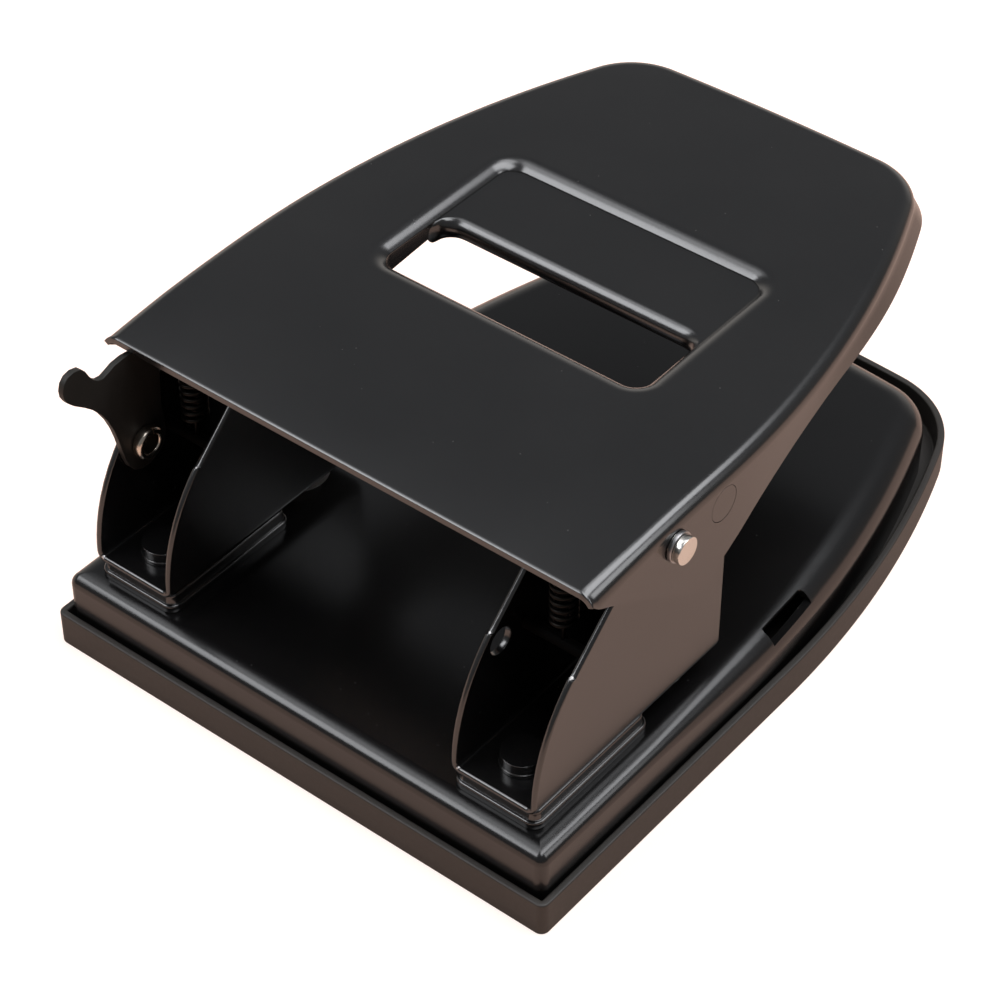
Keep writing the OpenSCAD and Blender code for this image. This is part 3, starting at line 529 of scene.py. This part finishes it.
def leverRow(k, line, climb, depth):  # climb -1..0 is the side from its lower edge up, 0..1 the fold
    row = []
    for x, y, nx, ny in line:
        u = min(1.0, max(0.0, (y - k["front"]) / k["edgeRun"]))
        deep = depth * (k["thin"] + (1 - k["thin"]) * min(1.0, 2 * u))  # the sheet is thinned at its front edge
        fold = k["edgeFront"] + (k["edge"] - k["edgeFront"]) * u
        side = smoothTable(y - k["front"], leverSide)
        start = asin(max(0.0, 1 - side / fold))  # the fold is only a part of a quarter turn at the front corner
        a = start + (pi / 2 - start) * max(climb, 0.0)
        r, zt = fold - deep, leverTop(k, y)
        d = deep + r * (1 - cos(a)) - fold * (1 - cos(start))
        z = zt - deep - r * (1 - sin(a))
        if climb < 0:
            flare = k["flare"] * sin(pi / 2 * min(1.0, max(0.0, (y - k["flareY"]) / k["flareRun"]))) ** 2
            d, z = d + climb * flare, z + min(0.0, zt - side - z) * -climb
        row.append((x - d * nx, y - d * ny, z))
    return row


def leverSheet(k):
    ys = [k["front"] + (k["side"] - k["front"]) * (i / 34) ** 2 for i in range(34)]
    half = [(k["halfW"], y, 1, 0) for y in ys] + shieldRear(k, (34, 20, 8))
    line = half + [(-x, y, -nx, ny) for x, y, nx, ny in reversed(half)]
    n = len(line)
    climbs = [-1, -0.75, -0.5, -0.25] + [i / 9 for i in range(10)]
    outer = [leverRow(k, line, c, 0.0) for c in climbs]
    inner = [leverRow(k, line, c, k["sheet"]) for c in climbs]
    out = sweep(outer, closedLoops=False, caps=False)
    ins = sweep(inner, closedLoops=False, caps=False)
    rim = sweep([outer[0], inner[0]], closedLoops=False, caps=False)
    parts = [out, ins, rim]
    last = len(ys)
    for rows in (outer, inner):
        ring = rows[-1]
        strips = [[ring[i], ring[n - 1 - i]] for i in range(last + 1)]
        parts.append(sweep(strips, closedLoops=False, caps=False))
    frontOut = [row[0] for row in outer] + [row[-1] for row in reversed(outer)]
    frontIn = [row[0] for row in inner] + [row[-1] for row in reversed(inner)]
    parts.append(sweep([frontOut, frontIn], closedLoops=False, caps=False))
    e, top, t = k["panelEdge"], k["top"], k["sheet"]
    turn = acos(1 - k["tongueDrop"] / e)  # steepest slope of the panel's edge, where it meets the tongue

    def panelRing(offset, z):
        loop = roundBox(k["panelW"], k["panelFront"], k["panelRear"], k["panelR"], offset)
        return [(x, y, z(y) if callable(z) else z) for x, y in loop]

    def foot(y):
        return top - (k["rim"] if y < k["tongueFront"] + 2 else k["tongueDrop"] + t - 0.2)
    rings = [panelRing(e * (sin(turn) - sin(turn * i / 12)), top - e * (1 - cos(turn * i / 12))) for i in range(13)]
    rings += [panelRing(0.0, foot), panelRing(t, foot), panelRing(t, top - t)]
    parts.append(sweep(rings, caps=False))
    parts.append(flatFill(outer[-1][last:n - last], [rings[0]], top))
    parts.append(flatFill(inner[-1][last:n - last], [rings[-1]], top - t))
    return join(*parts)


def spread(n):  # 0..1, closer together at both ends
    return [0.5 - 0.5 * cos(pi * i / n) for i in range(n + 1)]


def leverTongue(k):  # flat behind the opening, its front edge rolled under
    w, r, flat = k["panelW"] + k["tongueIn"], k["openR"], k["top"] - k["tongueDrop"]
    q, t, c = k["lip"], k["lipSheet"], k["tongueR"]
    arc = [radians(10 * i) for i in range(19)]
    profiles = []
    for u in spread(44):
        x = -w + 2 * w * u
        over = max(0.0, abs(x) - (k["panelW"] - r))
        bend = sqrt(max(0.0, r * r - min(over, r) ** 2))
        y0 = k["tongueFront"] - r + bend
        y1 = k["panelRear"] - c + sqrt(max(0.0, c * c - max(0.0, abs(x) - w + c) ** 2)) + k["tongueIn"]
        loop = [(x, y1 - (y1 - y0 - q) * v, flat) for v in (0, 0.25, 0.5, 0.75)]
        loop += [(x, y0 + q - q * sin(a), flat - q + q * cos(a)) for a in arc]
        loop += [(x, y0 + q - (q - t) * sin(a), flat - q + (q - t) * cos(a)) for a in reversed(arc)]
        loop.append((x, y1, flat - t))
        profiles.append(loop)
    return sweep(profiles)


def lever(k=leverSize):
    piece = newPiece("leverPressing", *leverSheet(k))
    for y, z, r in (k["pin"], k["rod"]):
        for s in (-1, 1):
            cutAway(piece, *rodX(y, z, r, s * (k["halfW"] - k["boreReach"]), s * (k["halfW"] + k["boreReach"])))
    softEdges(piece, *k["bevel"])
    settle(piece, "handle", "black_enamel", "lever")
    tongue = newPiece("leverTongue", *leverTongue(k))
    softEdges(tongue, *k["tongueBevel"])
    settle(tongue, "handle", "black_enamel")


lever()
print("lever made")

bracketSize = dict(pitch=80, halfW=8.8, sheet=1.2, bend=2.0, floor=19.4, soft=0.58, noseY=5.5, noseZ=21.0, noseR=32.1,
                   stepZ=43.38, stepIn=0.6, pivot=(37.0, 58.2), headR=4.0, backY=44.4, backZ=46.3, rear=56.0, backR=3.0,
                   pinR=2.53, lock=(17.198, 40.4, 2.63), spigot=(48.0, 4.53), boreReach=12, lockReach=5,
                   spigotCut=(-3, 4), bevel=(0.15, 50, 2))


def cheekSpan(k, z, above):  # front and rear of a cheek at a height; above picks a side of its two steps
    py, pz = k["pivot"]
    if z < k["stepZ"] or (z == k["stepZ"] and not above):
        u = max(0.0, z - k["noseZ"]) / k["noseR"]
        front = k["noseY"] + k["noseR"] * (1 - sqrt(1 - u * u))
    else:
        u = (k["stepZ"] - k["noseZ"]) / k["noseR"]
        y0 = k["noseY"] + k["noseR"] * (1 - sqrt(1 - u * u)) + k["stepIn"]
        y1, z1 = py - k["headR"] * sqrt(0.5), pz + k["headR"] * sqrt(0.5)
        front = y0 + (y1 - y0) * (z - k["stepZ"]) / (z1 - k["stepZ"]) if z < z1 else py - sqrt(
            max(0.0, k["headR"] ** 2 - (z - pz) ** 2))
    if z > pz:
        rear = py + sqrt(max(0.0, k["headR"] ** 2 - (z - pz) ** 2))
    elif z > k["backZ"] or (z == k["backZ"] and above):
        rear = k["backY"] + (py + k["headR"] - k["backY"]) * (z - k["backZ"]) / (pz - k["backZ"])
    else:
        rise = max(0.0, z - k["backZ"] + k["backR"])
        rear = k["rear"] - k["backR"] + sqrt(max(0.0, k["backR"] ** 2 - rise * rise))
    return front, rear


def bracket(side, s, k=bracketSize):  # one strip of sheet, bent twice, with rounded edges
    t, pz, mid = k["sheet"], k["pivot"][1], s * k["pitch"] / 2
    heights = [(pz + k["headR"] * cos(radians(a)), True) for a in (5, 12, 20, 30, 42, 55, 68, 80, 90)]
    heights += [(z, True) for z in (55, 52, 49, k["backZ"])]
    heights += [(k["backZ"] - k["backR"] * (1 - cos(radians(a))), False) for a in (0, 15, 30, 50, 70)]
    heights += [(k["stepZ"], True), (k["stepZ"], False), (k["backZ"] - k["backR"], False)]
    heights += [(z, False) for z in (42, 40, 37.5, 35, 32.5, 30, 27.5, 25, 23, k["floor"] + k["bend"])]
    stations = [((-k["halfW"], z), (1, 0), cheekSpan(k, z, above)) for z, above in heights]
    cx, cz = -k["halfW"] + k["bend"], k["floor"] + k["bend"]
    for i in range(1, 9):
        a = radians(90 * i / 8)
        z = cz - k["bend"] * sin(a)
        stations.append(((cx - k["bend"] * cos(a), z), (cos(a), sin(a)), cheekSpan(k, z, False)))
    stations += [((-x, z), (-nx, nz), span) for (x, z), (nx, nz), span in reversed(stations)]
    loops = []
    for (x, z), (nx, nz), (y0, y1) in stations:
        q = min(k["soft"], 0.49 * (y1 - y0))
        arc = [(q * (1 - sin(radians(22.5 * i))), q * (1 - cos(radians(22.5 * i)))) for i in range(5)]
        ends = arc + [(a, t - b) for a, b in reversed(arc)]
        loop = [(y0 + a, b) for a, b in ends] + [(y1 - a, b) for a, b in reversed(ends)]
        loops.append([(mid + x + nx * b, y, z + nz * b) for y, b in loop])
    piece = newPiece(side + "Bracket", *sweep(loops))
    cutAway(piece, *rodX(*k["pivot"], k["pinR"], mid - k["boreReach"], mid + k["boreReach"]))
    cutAway(piece, *rodX(*k["lock"], mid - k["boreReach"], mid - k["lockReach"]))  # the outer cheek or the inner one
    y, r = k["spigot"]
    ring = circleLoop(mid, y, r)
    cutAway(piece, *sweep([[(a, b, k["floor"] + z) for a, b in ring] for z in k["spigotCut"]]))
    softEdges(piece, *k["bevel"])
    settle(piece, "machine", "black_enamel", side + "_bracket")
    piece.data.materials[0] = finishes["bracket_enamel"]


spacerSize = dict(pitch=80, halfW=8.25, front=6.4, rear=36.0, corner=1.6, low=15.8, high=19.4, foot=0.65, footT=1.5,
                  soft=0.7, footSoft=0.4, bevel=(0.06, 50, 1))


def spacer(side, s, k=spacerSize):  # two plates, the lower one a little larger
    arc = [(1 - cos(radians(15 * i)), sin(radians(15 * i))) for i in range(7)]
    foot, step = k["foot"], k["low"] + k["footT"]
    profile = [(foot, k["low"])] + [(foot - k["footSoft"] * a, step - k["footSoft"] * (1 - b)) for a, b in arc]
    profile += [(0.0, step)] + [(-k["soft"] * a, k["high"] - k["soft"] * (1 - b)) for a, b in arc]
    loops = [[(x + s * k["pitch"] / 2, y, z) for x, y in roundBox(k["halfW"], k["front"], k["rear"], k["corner"], d, 8)]
             for d, z in profile]
    piece = newPiece(side + "Spacer", *sweep(loops))
    softEdges(piece, *k["bevel"])
    settle(piece, "machine", "black_enamel", side + "_spacer")


for side, s in (("left", -1), ("right", 1)):
    bracket(side, s)
    spacer(side, s)

eyeletSize = dict(y=17.198, z=40.4, barrel=2.6, ring=3.1, ringH=1.9, head=3.4, headT=0.8, soft=0.4, rim=0.65,
                  bevel=(0.06, 50, 1))


def eyelet(k=eyeletSize):  # hollow rivet, rolled over on the plate's side
    lo, hi = (p.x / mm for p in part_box("lock_eyelet"))
    s, q, seat = k["soft"], k["rim"], hi - k["ringH"]
    turn = [radians(18 * i) for i in range(11)]
    profile = [(lo, k["ring"] - 2 * q)] + [(lo + s * (1 - sin(a)), k["head"] - s * (1 - cos(a))) for a in turn[5::-1]]
    profile += [(lo + k["headT"], k["head"]), (lo + k["headT"], k["barrel"]), (seat, k["barrel"]), (seat, k["ring"])]
    profile += [(hi - q + q * sin(a), k["ring"] - q + q * cos(a)) for a in turn]
    loops = [[(x, k["y"] + r * cos(pi * i / 32), k["z"] + r * sin(pi * i / 32)) for x, r in profile] for i in range(64)]
    piece = newPiece("eyeletRing", *sweep(loops, around=True))
    softEdges(piece, *k["bevel"])
    settle(piece, "machine", "nickel_plate", "lock_eyelet")


eyelet()
print("brackets made")

springSize = dict(x=40, y=23.798, radius=2.1, wire=0.4, turns=9, turnPoints=26, low=44.0, high=57.6,
                  foot=39.3, head=60.4, tail=0.7)


def returnSpring(name, s, k=springSize):
    path = [(0, 0, k["foot"]), (0, 0, k["low"] - k["tail"])]
    count = k["turns"] * k["turnPoints"]
    for i in range(1, count):
        u = i / count
        r = k["radius"] * min(1.0, 2 * k["turns"] * u, 2 * k["turns"] * (1 - u)) ** 0.8
        a = 2 * pi * k["turns"] * u
        path.append((r * cos(a), r * sin(a), k["low"] + (k["high"] - k["low"]) * u))
    path += [(0, 0, k["high"] + k["tail"]), (0, 0, k["head"])]
    points = [Vector(p) for p in path]
    loops = []
    side = Vector((1, 0, 0))
    for i, p in enumerate(points):
        d = (points[min(i + 1, len(points) - 1)] - points[max(i - 1, 0)]).normalized()
        side = (side - d * side.dot(d)).normalized()
        up = d.cross(side)
        loops.append([tuple(p + k["wire"] * (cos(pi * j / 6) * side + sin(pi * j / 6) * up)
                            + Vector((s * k["x"], k["y"], 0))) for j in range(12)])
    piece = newPiece(name + "_coil", *sweep(loops))
    piece.data.materials.append(finishes["spring_steel"])
    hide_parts(name)
    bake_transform(piece)


for name, s in (("left_spring", -1), ("right_spring", 1)):
    returnSpring(name, s)

dressed = {  # bevel width and steps of each solid, by finish
    "black_enamel": dict(left_rivets=(0.55, 3), right_rivets=(0.55, 3), drive_rod=(0.15, 2), guide_straps=(0.15, 2)),
    # near black with painted shade, for the parts inside the brackets
    "shaded_black": dict(left_spring_anchor=(0.1, 2), right_spring_anchor=(0.1, 2), left_spring_hanger=(0.15, 2),
                      right_spring_hanger=(0.15, 2)),
    "tool_steel": dict(left_die=(0.1, 2), right_die=(0.1, 2), left_punch_guide=(0.3, 2), right_punch_guide=(0.3, 2),
                       left_punch=(0.05, 2), right_punch=(0.05, 2), left_yoke=(0.25, 2), right_yoke=(0.25, 2),
                       left_pin_clip=(0.12, 2), right_pin_clip=(0.12, 2)),
    "bright_pin": dict(pivot_pin=(0.35, 3)),
    "dull_plate": dict(lock_plate=(0.12, 2)),
    "guide_steel": dict(paper_guide=(0.15, 2)),
}
for slotName, group in dressed.items():
    for name, (width, steps) in group.items():
        node = nodes[name]
        node.data.materials.clear()
        node.data.materials.append(finishes[slotName])
        for face in node.data.polygons:
            face.use_smooth = True
        mod = node.modifiers.new("weld", "WELD")
        mod.merge_threshold = weldGap
        mod = node.modifiers.new("plain", "DECIMATE")
        mod.decimate_type, mod.angle_limit = "DISSOLVE", radians(0.6)
        softEdges(node, width, segments=steps)
print("solid pieces dressed")

stageLook = dict(floor=(0.665, 0.44, 0.342, 1), white=(1, 1, 1, 1), glow=0.7, mirrored=0.15, half=4,
                 low=(0.9, 0.85, 0.8, 1), dim=(0.2, 0.195, 0.19, 1), high=(0.205, 0.21, 0.22, 1),
                 horizon=(0.15, 0.5), pale=(-0.85, 0.53, 0.0), paleBand=(0.25, 0.7))


def paleFloor(k=stageLook):
    mesh, h = bpy.data.meshes.new("floor"), k["half"]
    mesh.from_pydata([(-h, -h, 0), (h, -h, 0), (h, h, 0), (-h, h, 0)], [], [(0, 1, 2, 3)])
    floor = bpy.data.objects.new("floor", mesh)
    scene.collection.objects.link(floor)
    mat, w = newMaterial("paleFloor")
    gloss = k["mirrored"] * w.add("LightPath", out="Is Glossy Ray")
    seen = w.sum("MAXIMUM", w.add("LightPath", out="Is Camera Ray"), gloss)
    seen = w.sum("MAXIMUM", seen, w.add("LightPath", out="Is Transmission Ray"))
    plain = w.add("BsdfDiffuse", {}, {"Color": k["floor"]})
    glow = w.add("Emission", {}, {"Color": k["white"], "Strength": k["glow"]})
    lit = w.add("AddShader", {}, {0: plain, 1: glow})
    closeMaterial(w, w.add("MixShader", {}, {0: seen, 1: plain, 2: lit}))
    mesh.materials.append(mat)


def studioSky(k=stageLook):  # pale by the horizon at the rear left, soft grey elsewhere
    world = bpy.data.worlds.new("studio")
    scene.world = world
    world.use_nodes = True
    world.node_tree.nodes.clear()
    w = Wire(world.node_tree)
    way = w.add("TexCoord", out="Generated")
    rise = w.add("SeparateXYZ", {}, {0: way}, "Z")
    back = w.add("VectorMath", {"operation": "DOT_PRODUCT"}, {0: way, 1: k["pale"]}, "Value")
    up, behind = (w.add("MapRange", {}, {0: value, 1: band[0], 2: band[1]})
                  for value, band in ((rise, k["horizon"]), (back, k["paleBand"])))
    low = mixInk(w, behind, k["dim"], k["low"])
    tone = mixInk(w, up, low, k["high"])
    soft = w.add("Background", {}, {"Color": tone, "Strength": 1.0})
    w.add("OutputWorld", {}, {"Surface": soft})


coolWhite = (0.96, 0.97, 1.0)
lampSet = [  # name, direction from the object, half angles in degrees along X and Y, radiance, colour
    ("frontLeft", (-0.466, -0.508, 0.725), (10, 17.7), 5.6, coolWhite),
    ("frontLeftFade", (-0.466, -0.062, 0.883), (10, 9.7), 2.3, coolWhite),
    ("leftFade", (-0.466, 0.2, 0.862), (10, 5.2), 0.7, coolWhite),
    ("overhead", (0.27, 0.19, 0.944), (13, 27.5), 5.2, coolWhite),
    ("overheadFade", (-0.07, 0.22, 0.973), (7, 13), 3.6, coolWhite),
    ("right", (0.72, 0.36, 0.59), (12, 9), 3.8, (0.97, 0.98, 1.0)),
]
lampReach, lampAim = 0.9, (0, 0, 0.04)


def lamps():
    for name, way, spans, radiance, tint in lampSet:
        data = bpy.data.lights.new(name, "AREA")
        data.shape = "RECTANGLE"
        data.size, data.size_y = (2 * lampReach * tan(radians(span)) for span in spans)
        data.energy, data.color = radiance * pi * data.size * data.size_y, tint
        lamp = bpy.data.objects.new(name, data)
        axis = Vector(way).normalized()
        lamp.location = Vector(lampAim) + axis * lampReach
        along = (Vector((0, 1, 0)) - axis * axis.y).normalized()
        lamp.rotation_mode = "QUATERNION"
        lamp.rotation_quaternion = Matrix((along.cross(axis), along, axis)).transposed().to_quaternion()
        scene.collection.objects.link(lamp)


view = dict(azimuth=38.80, elevation=41.90, distance=0.51997, target=(0.004222, -0.023037, 0.030459),
            lens=108.07, sensor=36.0, clip=(0.01, 40.0))


def photoCamera(k=view):
    data = bpy.data.cameras.new("photoCamera")
    data.sensor_width, data.lens = k["sensor"], k["lens"]
    data.clip_start, data.clip_end = k["clip"]
    camera = bpy.data.objects.new("photoCamera", data)
    a, e = radians(k["azimuth"]), radians(k["elevation"])
    back = Vector((sin(a) * cos(e), -cos(a) * cos(e), sin(e)))
    camera.location = Vector(k["target"]) + back * k["distance"]
    camera.rotation_mode = "QUATERNION"
    camera.rotation_quaternion = (-back).to_track_quat("-Z", "Y")
    scene.collection.objects.link(camera)
    scene.camera = camera


paleFloor()
studioSky()
lamps()
photoCamera()
print("stage set")
